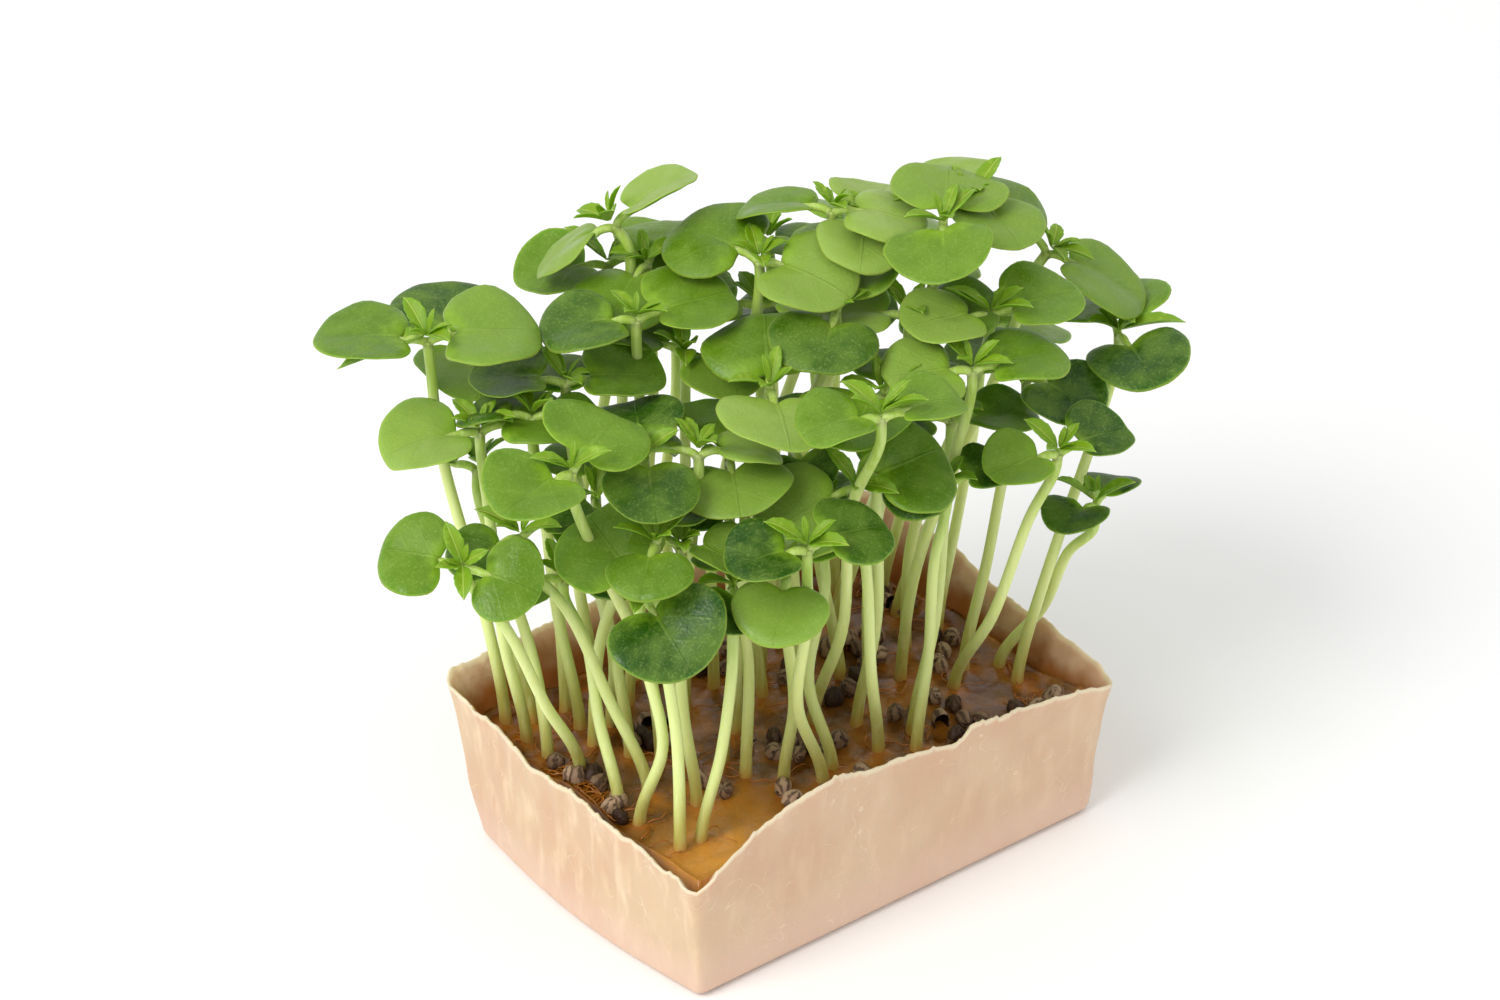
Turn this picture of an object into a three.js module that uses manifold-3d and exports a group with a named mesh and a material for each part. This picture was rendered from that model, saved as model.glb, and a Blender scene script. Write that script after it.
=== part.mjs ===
import * as THREE from 'three';
import { mergeVertices } from 'three/addons/utils/BufferGeometryUtils.js';
import Module from 'manifold-3d';

// Microgreens tray: seedlings growing out of a wet pad in a pressed plant-fibre tray.
// Millimetres, +Z up. The origin is the middle of the tray's underside, the long side runs
// along X, and -Y is the long side that shows its whole face.

// Tray
const TRAY_LENGTH = 62;
const TRAY_WIDTH = 46;
const RIM_HEIGHT = 19.5;
const TRAY_TAPER = 1.5;
const BASE_ROUND = 1.4;
const CORNER_RADII = [2.5, 4, 3, 2];
const END_BOW = 1.6;
const FOOT_ROUND = 3.5;
const WALL = 2.0;
const RIM_WALL = 1.1;
const RIM_SLOPE = 0.3;
const FLOOR = 2.2;
const MIDDLE_SHARE = 0.7;
const CORNER_POINTS = 4;
const SIDE_STEPS = [8, 6, 8, 6];

// Growing pad
const PAD_TOP = 14.2;
const PAD_LUMP = 0.7;
const PAD_COLUMNS = 9;
const PAD_ROWS = 7;
const ROOT_DEPTH = 6.5;
const CLEARANCE = 0.35;
const STEM_CLEARANCE = 0.5;

// Seed hulls lying on the pad
const HULL_COUNT = 24;
const HULL_RADIUS = 1.05;
const HULL_VARIES = 0.1;
const HULL_RISE = 0.35;
const HULL_MARGIN = 6;
const HULL_TO_STEM = 3.2;
const HULL_TO_HULL = 2.4;
const HULL_PLACE_SEED = 4051;
const HULL_TURN_SEED = 977;

// Seedling
const STEM_RADIUS = 0.68;
const STEM_SIDES = 4;
const STEM_STEPS = 6;
const LOW_BEND = 0.36;
const LOW_SWAY = 2;
const HIGH_BEND = 0.72;
const HIGH_SWAY = 0.9;
const STRAIGHT_FOOT = 1.5;
const STRAIGHT_NECK = 3;
const PETIOLE_RADIUS = 0.6;
const NECK = 1.2;
const PETIOLE_REACH = 2.3;
const PETIOLE_RISE = 0.35;
const LEAF_LENGTH = 9.2;
const LEAF_HALF_WIDTH = 6.8;
const LEAF_DROOP = 1.1;
const LEAF_CUP = 0.9;
const LEAF_TURN_VARIES = 9;
const LEAF_PITCHES = [-8, 10];
const LEAF_SIZES = [0.95, 1.04];
const BLADE = 0.65;
const PAIR_LIFT = 0.1;

// First leaf above the seed leaves: its length in millimetres, the rest as shares of it
const FIRST_LEAF = 2.5;
const FIRST_SIZES = [0.8, 1.15];
const FIRST_HALF_WIDTH = 0.32;
const FIRST_WIDEST = 0.4;
const FIRST_RISE = 0.7;
const FIRST_LIFT = 0.7;

// Rim height above or below RIM_HEIGHT, read round the tray from the near left corner:
// the share of the way round, then the height.
const rimStations = [
  [0.000, -3.4], [0.038, -4.2], [0.070, -2.6], [0.085, -0.8], [0.100, 1.2], [0.120, 2.8],
  [0.136, 3.4], [0.150, 2.0], [0.176, 1.2], [0.198, 0.4], [0.204, 2.0], [0.236, 0.8],
  [0.260, -0.3], [0.300, -2.0], [0.340, -2.6], [0.380, -0.6], [0.415, -0.4], [0.450, 2.0],
  [0.500, 3.0], [0.560, 2.4], [0.620, 2.0], [0.685, 2.6], [0.730, 1.5], [0.775, 1.1],
  [0.800, 1.0], [0.830, 0.2], [0.860, 0.0], [0.880, -1.0], [0.905, -2.2], [0.950, -2.6],
  [0.980, -3.3], [1.000, -3.4],
];

// Seedlings, left to right as the long side is seen from its front left corner. Each row
// holds the root's x, y; the shoot tip's x, y, z; the turn of the first seed leaf; the
// head's lean in degrees and the direction it leans to; and the size of its leaves.
const seedlings = [
  // Left end, leaning out over the rim
  [-26, 18, -33, 20, 65, 150, 10, 215, 1.05],
  [-23, 17, -27, 24, 61, 60, 6, 230, 1.02],
  [-26, 14, -30, 15, 55, 150, 10, 230, 0.90],
  [-26, 10, -28, 19, 48, 140, 16, 51, 0.65],
  [-26, 4, -40, 4, 47, 120, 38, 231, 0.70],
  [-26, -3, -30, 1, 43, 165, 12, 230, 0.82],
  [-22, -3, -33, 4, 48, 185, 8, 230, 0.70],
  [-21, 8, -21, -2, 56, 231, 16, 231, 0.85],
  [-17, 10, -24, 3, 50, 250, 16, 230, 0.85],
  [-20, 12, -26, 11, 57, 141, 12, 51, 0.62],
  // Middle left
  [-19, 4, -24, 8, 62, 145, 10, 230, 0.88],
  [-13, 12, -15, 7, 67, 340, 4, 240, 0.95],
  [-17, 1, -32, -4, 59, 200, 8, 230, 0.88],
  [-12, -4, -11, -4, 53, 235, 2, 230, 0.88],
  [-15, -1, -16, -5, 56, 140, 8, 51, 0.72],
  [-8, 8, -10, 5, 62, 300, 6, 230, 0.85],
  // Back left
  [-9, 16, -8, 20, 71, 141, 34, 125, 0.88],
  [-14, 17, -6, 24, 64, 145, 5, 230, 0.88],
  [-5, 16, -5, 18, 66, 20, 6, 200, 0.95],
  [-3, 9, -2, 2, 72, 110, 6, 230, 1.00],
  [0, 4, 1, 6, 64, 330, 10, 230, 0.90],
  // Back right
  [5, 16, 9, 3, 74, 135, 4, 51, 0.88],
  [9, 13, 16, 6, 69, 40, 6, 320, 0.80],
  [4, 9, 7, 0, 63, 40, 6, 230, 0.90],
  [14, 8, 17, -6, 73, 55, 6, 225, 0.92],
  [18, 12, 25, -2, 72, 76, 4, 240, 0.85],
  [24, 8, 33, -6, 65, 300, 30, 312, 1.12],
  [20, 2, 22, -8, 61, 330, 6, 240, 0.90],
  [10, -3, 14, -4, 62, 320, 6, 230, 0.85],
  // Right end
  [25, -12, 35, -16, 58, 240, 4, 235, 0.98],
  [15, -3, 16, -12, 58, 340, 8, 230, 0.88],
  [22, -6, 23, -14, 56, 290, 8, 230, 0.85],
  [18, -9, 21, -21, 50, 350, 20, 240, 0.72],
  [26, -8, 31, -17, 38, 25, 4, 51, 0.58],
  // Centre and front
  [-7, 0, -7, -6, 61, 60, 10, 230, 1.00],
  [5, -7, 5, -10, 58, 24, 4, 230, 0.90],
  [2, 0, -3, -5, 52, 51, 10, 230, 0.62],
  [3, -13, -1, -13, 50, 355, 24, 250, 1.00],
  [9, -12, 17, -8, 50, 320, 2, 230, 0.82],
  [1, -4, -2, -18, 61, 160, 2, 230, 0.75],
  [7, -15, 13, -12, 45, 340, 8, 230, 0.62],
  [-26, -7, -27, -9, 45, 262, 30, 240, 0.95],
  [-23, -14, -17, -12, 43, 45, 2, 230, 0.65],
  [-9, -11, -13, -16, 45, 35, 18, 230, 0.82],
  [-6, -14, -11, -17, 48, 355, 10, 230, 0.75],
  [-26, -14, -25, -9, 50, 40, 8, 230, 0.72],
  [-19, -8, -20, -7, 47, 100, 8, 230, 0.60],
  [-12, -8, -13, -9, 50, 130, 8, 230, 0.60],
  [-3, -12, -4, -11, 47, 20, 8, 230, 0.60],
  // Behind
  [12, 17, 14, 20, 62, 100, 12, 70, 0.95],
  [21, 16, 25, 19, 60, 40, 12, 50, 0.95],
  [0, 17, 3, 24, 59, 60, 14, 80, 0.90],
  [26, 13, 33, 11, 58, 20, 12, 20, 0.90],
  [-19, 16, -19, 23, 56, 100, 14, 100, 0.85],
  [10, 2, 12, 10, 58, 120, 6, 60, 0.85],
  [25, 2, 33, 4, 51, 350, 12, 10, 0.85],
];

// The places tried for a seedling, so that few cross: its tip steps up or down along the line
// that it is seen on, its leaves turn, and its bends and leaves are drawn anew.
const TIP_STEPS = [0, 1, -1, 2, -2, 3, -3];
const TIP_STEP = new THREE.Vector3(-1.09, -1.35, 1);
const LEAF_TURNS = [0, 12, -12];
const DRAWS = [1, 2, 3, 4, 5, 6, 7, 8];
const ROUNDS = 2;
const DRAW_APART = 7919;
const ROOT_APART = 31;

const wasm = await Module();
wasm.setup();

const degrees = THREE.MathUtils.degToRad;

// A repeatable random draw between 0 and 1.
function randomDraw(seed) {
  let state = seed;
  return () => {
    state = (state + 0x6d2b79f5) | 0;
    let mixed = Math.imul(state ^ (state >>> 15), 1 | state);
    mixed = (mixed + Math.imul(mixed ^ (mixed >>> 7), 61 | mixed)) ^ mixed;
    return ((mixed ^ (mixed >>> 14)) >>> 0) / 4294967296;
  };
}

// Turn a closed geometry into a solid that can be joined and cut.
function solidOf(geometry) {
  const bare = geometry.index ? geometry.toNonIndexed() : geometry.clone();
  bare.deleteAttribute('normal');
  bare.deleteAttribute('uv');
  const merged = mergeVertices(bare, 1e-4);
  return new wasm.Manifold(new wasm.Mesh({
    numProp: 3,
    vertProperties: merged.attributes.position.array,
    triVerts: merged.index.array,
  }));
}

// Turn a solid back into a geometry.
function geometryOf(solid) {
  const mesh = solid.getMesh();
  const geometry = new THREE.BufferGeometry();
  geometry.setAttribute('position', new THREE.BufferAttribute(mesh.vertProperties, 3));
  geometry.setIndex(new THREE.BufferAttribute(mesh.triVerts, 1));
  geometry.computeVertexNormals();
  return geometry;
}

// Close a stack of equal loops into one skin, with a fan over each end.
function loftOf(loops) {
  const count = loops[0].length;
  const middle = (loop) => loop.reduce((sum, p) => sum.add(p), new THREE.Vector3()).divideScalar(count);
  const points = [...loops.flat(), middle(loops[0]), middle(loops.at(-1))];
  const index = [];
  for (let i = 0; i < count; i += 1) {
    const next = (i + 1) % count;
    for (let row = 0; row + 1 < loops.length; row += 1) {
      const a = row * count;
      const b = a + count;
      index.push(a + i, a + next, b + next, a + i, b + next, b + i);
    }
    const last = (loops.length - 1) * count;
    index.push(points.length - 2, next, i, points.length - 1, last + i, last + next);
  }
  const geometry = new THREE.BufferGeometry().setFromPoints(points);
  geometry.setIndex(index);
  return geometry;
}

// The tray's outline in plan, drawn in by an inset, anticlockwise from the near left corner.
// The left end bows outwards, and the far left corner, its last, is rounded off.
function trayOutline(inset, bow = 0, round = 0) {
  const x = TRAY_LENGTH / 2 - inset;
  const y = TRAY_WIDTH / 2 - inset;
  const corners = [[-1, -1, 180], [1, -1, 270], [1, 1, 0], [-1, 1, 90]].map(([sx, sy, start], i) => {
    const radius = Math.max(CORNER_RADII[i] - inset, 1) + (i === 3 ? round : 0);
    const arc = [...Array(CORNER_POINTS).keys()].map((step) => {
      const angle = degrees(start + (90 * step) / (CORNER_POINTS - 1));
      return new THREE.Vector2(
        sx * (x - radius) + radius * Math.cos(angle),
        sy * (y - radius) + radius * Math.sin(angle),
      );
    });
    return arc;
  });
  return corners.flatMap((arc, i) => {
    const next = corners[(i + 1) % corners.length];
    const side = [];
    for (let step = 1; step < SIDE_STEPS[i]; step += 1) {
      const share = step / SIDE_STEPS[i];
      const spot = arc.at(-1).clone().lerp(next[0], share);
      spot.x -= i === 3 ? bow * Math.sin(Math.PI * share) : 0;
      side.push(spot);
    }
    return [...arc, ...side];
  });
}

function rimLift(share) {
  const next = rimStations.findIndex(([s]) => s > share);
  const [s0, lift0] = rimStations[next - 1];
  const [s1, lift1] = rimStations[next];
  return THREE.MathUtils.lerp(lift0, lift1, (share - s0) / (s1 - s0));
}

// The pressed shell: a flat floor, walls that widen upwards and a torn rim.
function fibreTray() {
  const level = (inset, z, bow, round) => (
    trayOutline(inset, bow, round).map((p) => new THREE.Vector3(p.x, p.y, z))
  );
  const torn = (inset, drop) => trayOutline(inset).map((p, i, outline) => (
    new THREE.Vector3(p.x, p.y, RIM_HEIGHT + rimLift(i / outline.length) - drop)
  ));
  const middle = PAD_TOP * MIDDLE_SHARE;
  return loftOf([
    level(TRAY_TAPER + BASE_ROUND, 0, END_BOW, FOOT_ROUND),
    level(TRAY_TAPER, BASE_ROUND, END_BOW, FOOT_ROUND),
    level(TRAY_TAPER / 2, middle, END_BOW / 2, FOOT_ROUND / 2),
    torn(0, 0),
    torn(RIM_WALL, RIM_SLOPE),
    level(TRAY_TAPER / 2 + WALL, middle),
    level(TRAY_TAPER + WALL, FLOOR),
  ]);
}

// The height of the pad's lumpy top.
function padHeight(x, y) {
  const broad = Math.sin(x * 0.23 + 1.1) * Math.cos(y * 0.29 - 0.6);
  const fine = Math.sin(x * 0.61 - y * 0.47);
  return PAD_TOP + PAD_LUMP * (0.7 * broad + 0.3 * fine);
}

// The pad: a block with a lumpy top that fills the tray to below its rim.
function padBlock() {
  const foot = TRAY_TAPER + WALL + CLEARANCE;
  const head = TRAY_TAPER / 2 + WALL + CLEARANCE;
  const geometry = new THREE.BoxGeometry(1, 1, 1, PAD_COLUMNS, PAD_ROWS, 1);
  const spot = geometry.attributes.position;
  for (let i = 0; i < spot.count; i += 1) {
    const top = spot.getZ(i) > 0;
    const inset = top ? head : foot;
    const x = spot.getX(i) * (TRAY_LENGTH - 2 * inset);
    const y = spot.getY(i) * (TRAY_WIDTH - 2 * inset);
    spot.setXYZ(i, x, y, top ? padHeight(x, y) : FLOOR + CLEARANCE);
  }
  return solidOf(geometry);
}

// A stem: a rod with few sides along a curve.
function rod(curve, radius) {
  const ring = [...Array(STEM_SIDES).keys()].map((i) => {
    const angle = (2 * Math.PI * i) / STEM_SIDES;
    return new THREE.Vector2(radius * Math.cos(angle), radius * Math.sin(angle));
  });
  return new THREE.ExtrudeGeometry(new THREE.Shape(ring), { steps: STEM_STEPS, extrudePath: curve });
}

// The path of a stem: upright in the pad, leaning out of it, then upright to the tip.
function stemPath(root, tip, up, between) {
  const foot = new THREE.Vector3(root.x, root.y, padHeight(root.x, root.y));
  const sway = (reach) => new THREE.Vector3(between(-reach, reach), between(-reach, reach), 0);
  const low = foot.clone().lerp(tip, LOW_BEND).add(sway(LOW_SWAY));
  const high = foot.clone().lerp(tip, HIGH_BEND).add(sway(HIGH_SWAY));
  return new THREE.CatmullRomCurve3([
    foot.clone().setZ(foot.z - ROOT_DEPTH),
    foot.clone().setZ(foot.z + STRAIGHT_FOOT),
    low,
    high,
    tip.clone().addScaledVector(up, -STRAIGHT_NECK),
    tip,
  ], false, 'centripetal');
}

// A thin blade between two edges that meet in a tip at both ends. Each rung is a pair of
// points, right and left, and every face between rungs is split alike above and below.
function ladderBlade(firstTip, rungs, lastTip) {
  const top = [firstTip, ...rungs.flat(), lastTip];
  const bottom = top.map((p) => p.clone().setZ(p.z - BLADE));
  const count = top.length;
  const faces = [[0, 1, 2], [count - 3, count - 1, count - 2]];
  const right = [];
  const left = [];
  for (let i = 1; i < count - 1; i += 2) {
    right.push(i);
    left.unshift(i + 1);
    if (i + 3 < count) {
      faces.push([i, i + 2, i + 3], [i, i + 3, i + 1]);
    }
  }
  const rim = [0, ...right, count - 1, ...left];
  const index = faces.flatMap(([p, q, r]) => [p, q, r, p + count, r + count, q + count]);
  rim.forEach((p, i) => {
    const q = rim[(i + 1) % rim.length];
    index.push(p + count, q + count, q, p + count, q, p);
  });
  const geometry = new THREE.BufferGeometry().setFromPoints([...top, ...bottom]);
  geometry.setIndex(index);
  return geometry;
}

// One side of a kidney-shaped seed leaf, from its stalk round to its tip: shares of the
// leaf's length, and of its half width.
const halfLeaf = [[-0.02, 0.08], [0.01, 0.5], [0.14, 0.9], [0.45, 1.0], [0.82, 0.7]];

// A point of a seed leaf that is x out from the shoot tip and y to the left, on the bent blade.
function leafPoint({ angle, pitch }, x, y) {
  const along = Math.max(x - PETIOLE_REACH, 0);
  const rise = Math.min(x, PETIOLE_REACH) * PETIOLE_RISE + along * Math.tan(pitch);
  const bend = LEAF_CUP * (y / LEAF_HALF_WIDTH) ** 2 - LEAF_DROOP * (along / LEAF_LENGTH) ** 2;
  const spot = new THREE.Vector3(x, y, rise + bend);
  return spot.applyAxisAngle(new THREE.Vector3(0, 0, 1), angle);
}

// The pair of seed leaves, as one thin blade that runs from leaf to leaf through both stalks.
function leafPair([first, last]) {
  const edge = (leaf) => [
    [NECK, PETIOLE_RADIUS],
    ...halfLeaf.map(([along, out]) => [
      PETIOLE_REACH + along * LEAF_LENGTH * leaf.size,
      out * LEAF_HALF_WIDTH * leaf.size,
    ]),
  ];
  const tip = (leaf) => leafPoint(leaf, PETIOLE_REACH + LEAF_LENGTH * leaf.size, 0);
  const inward = edge(first).reverse().map(([x, y]) => [leafPoint(first, x, y), leafPoint(first, x, -y)]);
  const outward = edge(last).map(([x, y]) => [leafPoint(last, x, -y), leafPoint(last, x, y)]);
  return ladderBlade(tip(first), [...inward, ...outward], tip(last));
}

// The two small first leaves above the seed leaves, as one thin blade bent to a V.
function firstLeaves(size) {
  const long = FIRST_LEAF * size;
  const wide = long * FIRST_HALF_WIDTH;
  const fold = long * FIRST_WIDEST;
  const tip = (side) => new THREE.Vector3(side * long, 0, long * FIRST_RISE);
  const rung = (side) => [new THREE.Vector3(side * fold, -wide, 0), new THREE.Vector3(side * fold, wide, 0)];
  return ladderBlade(tip(-1), [rung(-1), rung(1)], tip(1));
}

// Join solids into one and let go of them.
function joined(solids) {
  const sum = wasm.Manifold.union(solids);
  solids.forEach((solid) => solid.delete());
  return sum;
}

// One seedling, as a solid, with the path of its stem.
function growSeedling(row, { step, swing, number }) {
  const [rootX, rootY, tipX, tipY, tipZ, middleTurn, lean, towards, size] = row;
  const draw = randomDraw(number * DRAW_APART + rootX * ROOT_APART + rootY);
  const between = (low, high) => THREE.MathUtils.lerp(low, high, draw());
  const tip = new THREE.Vector3(tipX, tipY, tipZ).addScaledVector(TIP_STEP, step);
  const turn = middleTurn + swing;
  const axis = new THREE.Vector3(-Math.sin(degrees(towards)), Math.cos(degrees(towards)), 0);
  const tilt = new THREE.Matrix4().makeRotationAxis(axis, degrees(lean));
  const up = new THREE.Vector3(0, 0, 1).applyMatrix4(tilt);
  const head = new THREE.Matrix4().makeTranslation(tip).multiply(tilt);

  const path = stemPath(new THREE.Vector2(rootX, rootY), tip, up, between);
  const leaves = [0, 180].map((side) => ({
    angle: degrees(turn + side + between(-LEAF_TURN_VARIES, LEAF_TURN_VARIES)),
    pitch: degrees(between(...LEAF_PITCHES)),
    size: size * between(...LEAF_SIZES),
  }));
  const pair = leafPair(leaves).translate(0, 0, PAIR_LIFT).applyMatrix4(head);
  const sprout = firstLeaves(between(...FIRST_SIZES)).rotateZ(degrees(turn + 90));
  sprout.translate(0, 0, FIRST_LIFT).applyMatrix4(head);
  return { path, solid: joined([rod(path, STEM_RADIUS), pair, sprout].map(solidOf)) };
}

// True where two solids share any room.
function cross(one, other) {
  const [first, second] = [one.boundingBox(), other.boundingBox()];
  if (first.min.some((low, k) => low > second.max[k] || second.min[k] > first.max[k])) {
    return false;
  }
  const shared = one.intersect(other);
  const volume = shared.volume();
  shared.delete();
  return volume > 0;
}

// How many of the others a solid crosses, counted no further than a limit.
function crossings(solid, others, limit) {
  let count = 0;
  for (const other of others) {
    count += cross(solid, other.solid) ? 1 : 0;
    if (count >= limit) {
      break;
    }
  }
  return count;
}

// A seedling in the first place tried where it crosses none of the others, or else where it
// crosses the fewest.
function placeSeedling(row, others) {
  let best = { crossed: Infinity };
  for (const step of TIP_STEPS) {
    for (const swing of LEAF_TURNS) {
      for (const number of DRAWS) {
        const seedling = growSeedling(row, { step, swing, number });
        const crossed = crossings(seedling.solid, others, best.crossed);
        if (crossed < best.crossed) {
          best.solid?.delete();
          best = { ...seedling, crossed };
        } else {
          seedling.solid.delete();
        }
        if (best.crossed === 0) {
          return best;
        }
      }
    }
  }
  return best;
}

// All seedlings, placed one after the other, and those that still cross placed again.
function growAll(rows) {
  const grown = [];
  for (let round = 0; round < ROUNDS; round += 1) {
    rows.forEach((row, i) => {
      const others = grown.filter((_, k) => k !== i);
      if (!grown[i] || crossings(grown[i].solid, others, 1) > 0) {
        grown[i] = placeSeedling(row, others);
      }
    });
  }
  return grown;
}

// Group the seedlings that cross, so that each group can be one solid.
function groupCrossing(solids) {
  const group = solids.map((_, i) => i);
  for (let i = 0; i < solids.length; i += 1) {
    for (let j = i + 1; j < solids.length; j += 1) {
      if (group[i] !== group[j] && cross(solids[i], solids[j])) {
        const old = group[j];
        group.forEach((g, k) => {
          if (g === old) group[k] = group[i];
        });
      }
    }
  }
  return group;
}

// The seed hulls: small rough balls sunk in the pad's top, clear of every stem.
function hullSpots(roots) {
  const draw = randomDraw(HULL_PLACE_SEED);
  const spots = [];
  const free = (x, y, others, gap) => others.every(([ox, oy]) => Math.hypot(x - ox, y - oy) > gap);
  while (spots.length < HULL_COUNT) {
    const x = (draw() - 0.5) * (TRAY_LENGTH - 2 * HULL_MARGIN);
    const y = (draw() - 0.5) * (TRAY_WIDTH - 2 * HULL_MARGIN);
    if (free(x, y, roots, HULL_TO_STEM) && free(x, y, spots, HULL_TO_HULL)) {
      spots.push([x, y]);
    }
  }
  return spots;
}

function growingPad(paths) {
  const draw = randomDraw(HULL_TURN_SEED);
  let pad = padBlock();
  for (const [x, y] of hullSpots(seedlings)) {
    const size = THREE.MathUtils.lerp(1 - HULL_VARIES, 1 + HULL_VARIES, draw());
    const hull = new THREE.IcosahedronGeometry(HULL_RADIUS * size);
    hull.rotateZ(draw() * Math.PI);
    hull.translate(x, y, padHeight(x, y) + HULL_RISE);
    pad = pad.add(solidOf(hull));
  }
  for (const path of paths) {
    const burrow = rod(path, STEM_RADIUS + STEM_CLEARANCE).translate(0, 0, -CLEARANCE);
    pad = pad.subtract(solidOf(burrow));
  }
  return geometryOf(pad);
}

function addPiece(group, name, geometry, color, roughness) {
  const mesh = new THREE.Mesh(geometry, new THREE.MeshStandardMaterial({ color, roughness, metalness: 0 }));
  mesh.name = name;
  group.add(mesh);
}

const tray = new THREE.Group();
const grown = growAll(seedlings);
const groups = groupCrossing(grown.map((seedling) => seedling.solid));

addPiece(tray, 'fibre_tray', fibreTray(), 0xe6c8a5, 0.7);
addPiece(tray, 'growing_pad', growingPad(grown.map((seedling) => seedling.path)), 0xb57a35, 0.45);
[...new Set(groups)].forEach((first) => {
  const members = groups.flatMap((g, i) => (g === first ? [i] : []));
  const solid = members.map((i) => grown[i].solid).reduce((sum, next) => sum.add(next));
  const label = String(first + 1).padStart(2, '0');
  const name = members.length > 1 ? `seedling_clump_${label}` : `seedling_${label}`;
  addPiece(tray, name, geometryOf(solid), 0x6f9a3c, 0.55);
});

export default tray;
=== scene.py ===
"""A block of young seedlings growing in a small tray of pressed fibre."""

import math
from itertools import product
from types import SimpleNamespace

import bpy
import numpy as np
from bpy.props import FloatProperty, FloatVectorProperty, IntProperty, PointerProperty
from mathutils import Matrix, Vector, kdtree, noise


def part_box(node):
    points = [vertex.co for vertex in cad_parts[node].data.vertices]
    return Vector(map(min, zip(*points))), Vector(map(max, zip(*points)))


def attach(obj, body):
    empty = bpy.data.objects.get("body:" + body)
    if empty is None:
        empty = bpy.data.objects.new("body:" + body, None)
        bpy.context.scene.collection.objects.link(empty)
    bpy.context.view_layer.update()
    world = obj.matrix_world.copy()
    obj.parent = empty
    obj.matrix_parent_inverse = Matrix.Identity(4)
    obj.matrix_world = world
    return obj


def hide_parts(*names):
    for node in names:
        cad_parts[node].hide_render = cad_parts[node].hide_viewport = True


bl_info = {
    "name": "Microgreens Tray",
    "version": (1, 0, 0),
    "blender": (4, 5, 0),
    "location": "View3D > Sidebar > Microgreens",
    "description": "Dresses a block of seedlings and its tray of pressed fibre",
    "category": "Add Mesh",
}

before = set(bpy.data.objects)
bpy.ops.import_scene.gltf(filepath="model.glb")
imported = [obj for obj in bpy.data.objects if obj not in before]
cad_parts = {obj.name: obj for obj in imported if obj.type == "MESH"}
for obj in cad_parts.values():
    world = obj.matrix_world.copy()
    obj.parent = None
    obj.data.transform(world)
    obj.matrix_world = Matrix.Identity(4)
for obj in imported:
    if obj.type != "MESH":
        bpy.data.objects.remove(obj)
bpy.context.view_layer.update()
MM = 0.001

# Sizes that the solids share, in millimetres
RIM_HEIGHT = 19.5
TRAY_TAPER = 1.5
BASE_ROUND = 1.4
CORNER_RADII = (2.5, 4.0, 3.0, 2.0)
END_BOW = 1.6
FOOT_ROUND = 3.5
WALL = 2.0
FLOOR = 2.2
PAD_TOP = 14.2
PAD_LUMP = 0.7
CLEARANCE = 0.35
ROOT_DEPTH = 6.5
SOAK = 0.9
LOW_BEND = 0.36
LOW_SWAY = 2.0
HIGH_BEND = 0.72
HIGH_SWAY = 0.9
PETIOLE_REACH = 2.3
PETIOLE_RISE = 0.35
LEAF_DROOP = 1.1
LEAF_CUP = 0.9
PAIR_LIFT = 0.1
SPROUT_LIFT = 0.7
SOLID_LEAF = 9.2
HULL_MARGIN = 6

# How many hulls the solids have, and the draw that places them
SOLID_HULLS = 24
HULL_PLACES = 4051

# The places that the solids try for a seedling: steps of its tip along the line that it is
# seen on, turns of its leaves, and new draws, and what keeps the draws of seedlings apart
TIP_STEPS = (0, 1, -1, 2, -2, 3, -3)
TIP_STEP = (-1.09, -1.35, 1.0)
LEAF_TURNS = (0, 12, -12)
DRAWS = (1, 2, 3, 4, 5, 6, 7, 8)
DRAW_APART = 7919
ROOT_APART = 31

# How near a leaf tip has to be to a corner of its solid, in metres
NEAR = 0.0001

# The draws for the root threads, and for the drifts and the form of the hulls
THREAD_DRAW = 311
HULL_DRAW = 977

# Nearly a full turn, in radians
TURN = 6.28

# How many points go round the fibre tray, into its outline as it is measured, round a seed
# leaf and round a stem
ROUND_POINTS = 520
MEASURED_POINTS = 2001
LEAF_POINTS = 48
STEM_SIDES = 12

# How much further in than the walls the flat faces of the base and floor end, and how far
# along the outline its direction is measured
FLAT_INSET = 12
AHEAD = 0.01

# Steps of the outline: so many round each corner, then so many along the side after it
CORNER_STEPS = 3
SIDE_STEPS = (8, 6, 8, 6)
OUTLINE_STEPS = 4 * CORNER_STEPS + sum(SIDE_STEPS)

# How far the torn rim stands above or below its height: the share of the way round, then
# millimetres
RIM_STATIONS = (
    (0.000, -3.4), (0.038, -4.2), (0.070, -2.6), (0.085, -0.8), (0.100, 1.2), (0.120, 2.8),
    (0.136, 3.4), (0.150, 2.0), (0.176, 1.2), (0.198, 0.4), (0.204, 2.0), (0.236, 0.8),
    (0.260, -0.3), (0.300, -2.0), (0.340, -2.6), (0.380, -0.6), (0.415, -0.4), (0.450, 2.0),
    (0.500, 3.0), (0.560, 2.4), (0.620, 2.0), (0.685, 2.6), (0.730, 1.5), (0.775, 1.1),
    (0.800, 1.0), (0.830, 0.2), (0.860, 0.0), (0.880, -1.0), (0.905, -2.2), (0.950, -2.6),
    (0.980, -3.3), (1.000, -3.4),
)

# Where torn hulls have drifted against the rim: x, y, and how far the drift reaches along each
DRIFTS = ((-28.0, -5.0, 2.6, 13.0), (24.0, 8.0, 4.0, 9.0), (18.0, -19.5, 8.0, 2.5))

# How far the root threads may reach along x and y
THREAD_REACH = ((-28.3, 28.0), (-20.3, 20.3))

# The near corner of the pad, painted paler as light falling on it where it lies open: its middle, and
# how far it spreads along x and y
LIT_POCKET = (-23, -17, 9, 7)
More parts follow.
